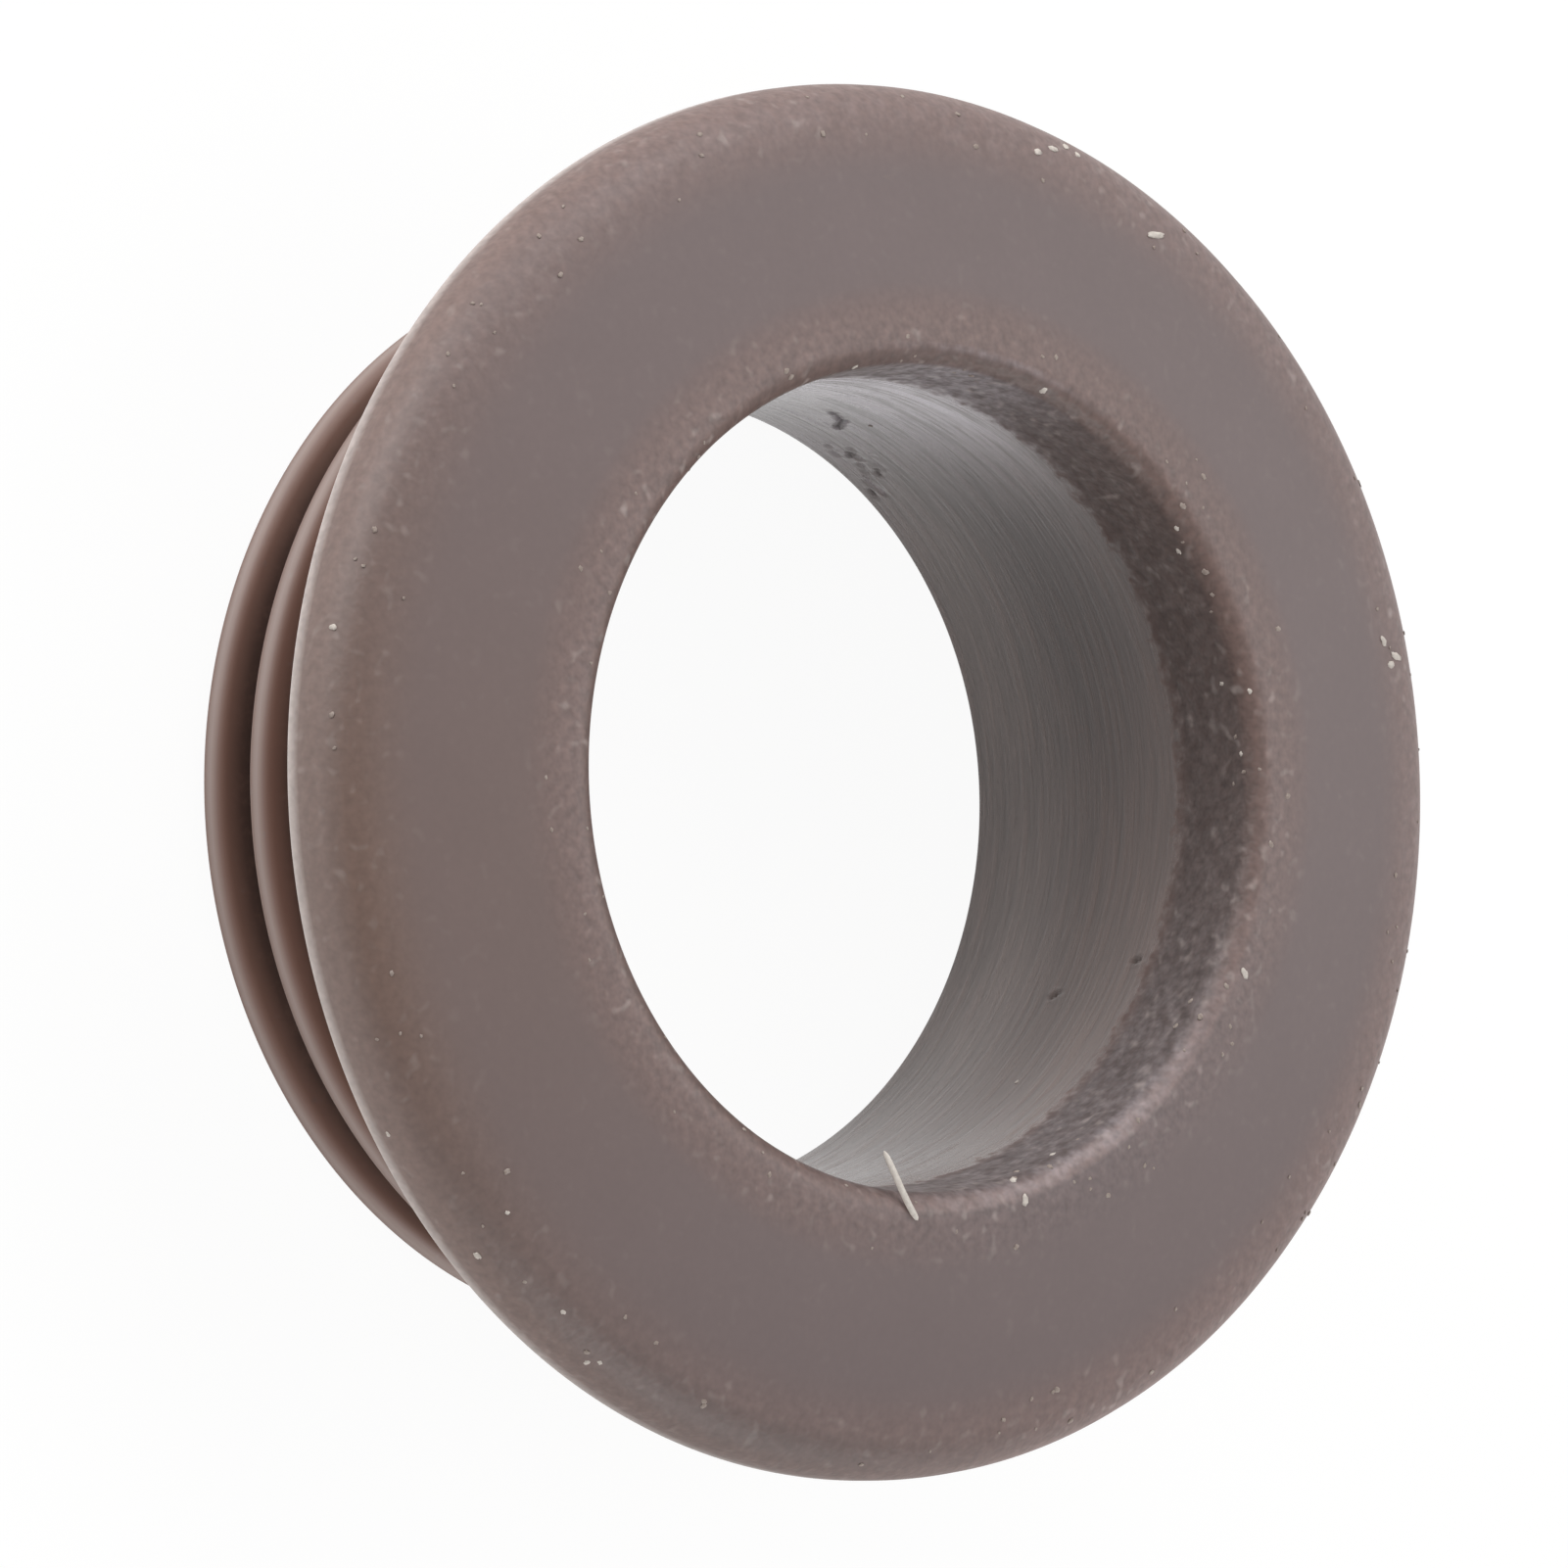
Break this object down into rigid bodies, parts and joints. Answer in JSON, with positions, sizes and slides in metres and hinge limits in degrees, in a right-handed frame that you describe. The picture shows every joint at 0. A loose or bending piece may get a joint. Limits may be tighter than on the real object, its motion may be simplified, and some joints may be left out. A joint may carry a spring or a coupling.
{
  "type": "door lock pin grommet",
  "caption": "Soft moulded grommet with a domed flange, rolled lip and ribbed barrel, lining the panel hole that a door lock pin slides through.",
  "frame": {"origin": "on the bore's axis, in the plane of the flange's flat back, where it meets the panel", "axes": "+Z along the bore, out of the domed face; the barrel runs along -Z; the part is round about Z, so X and Y are free"},
  "size_m": [0.019, 0.019, 0.0067],
  "materials": {
    "brown_elastomer": "matte"
  },
  "bodies": {
    "root": {"grommet": "brown_elastomer"}
  },
  "joints": []
}
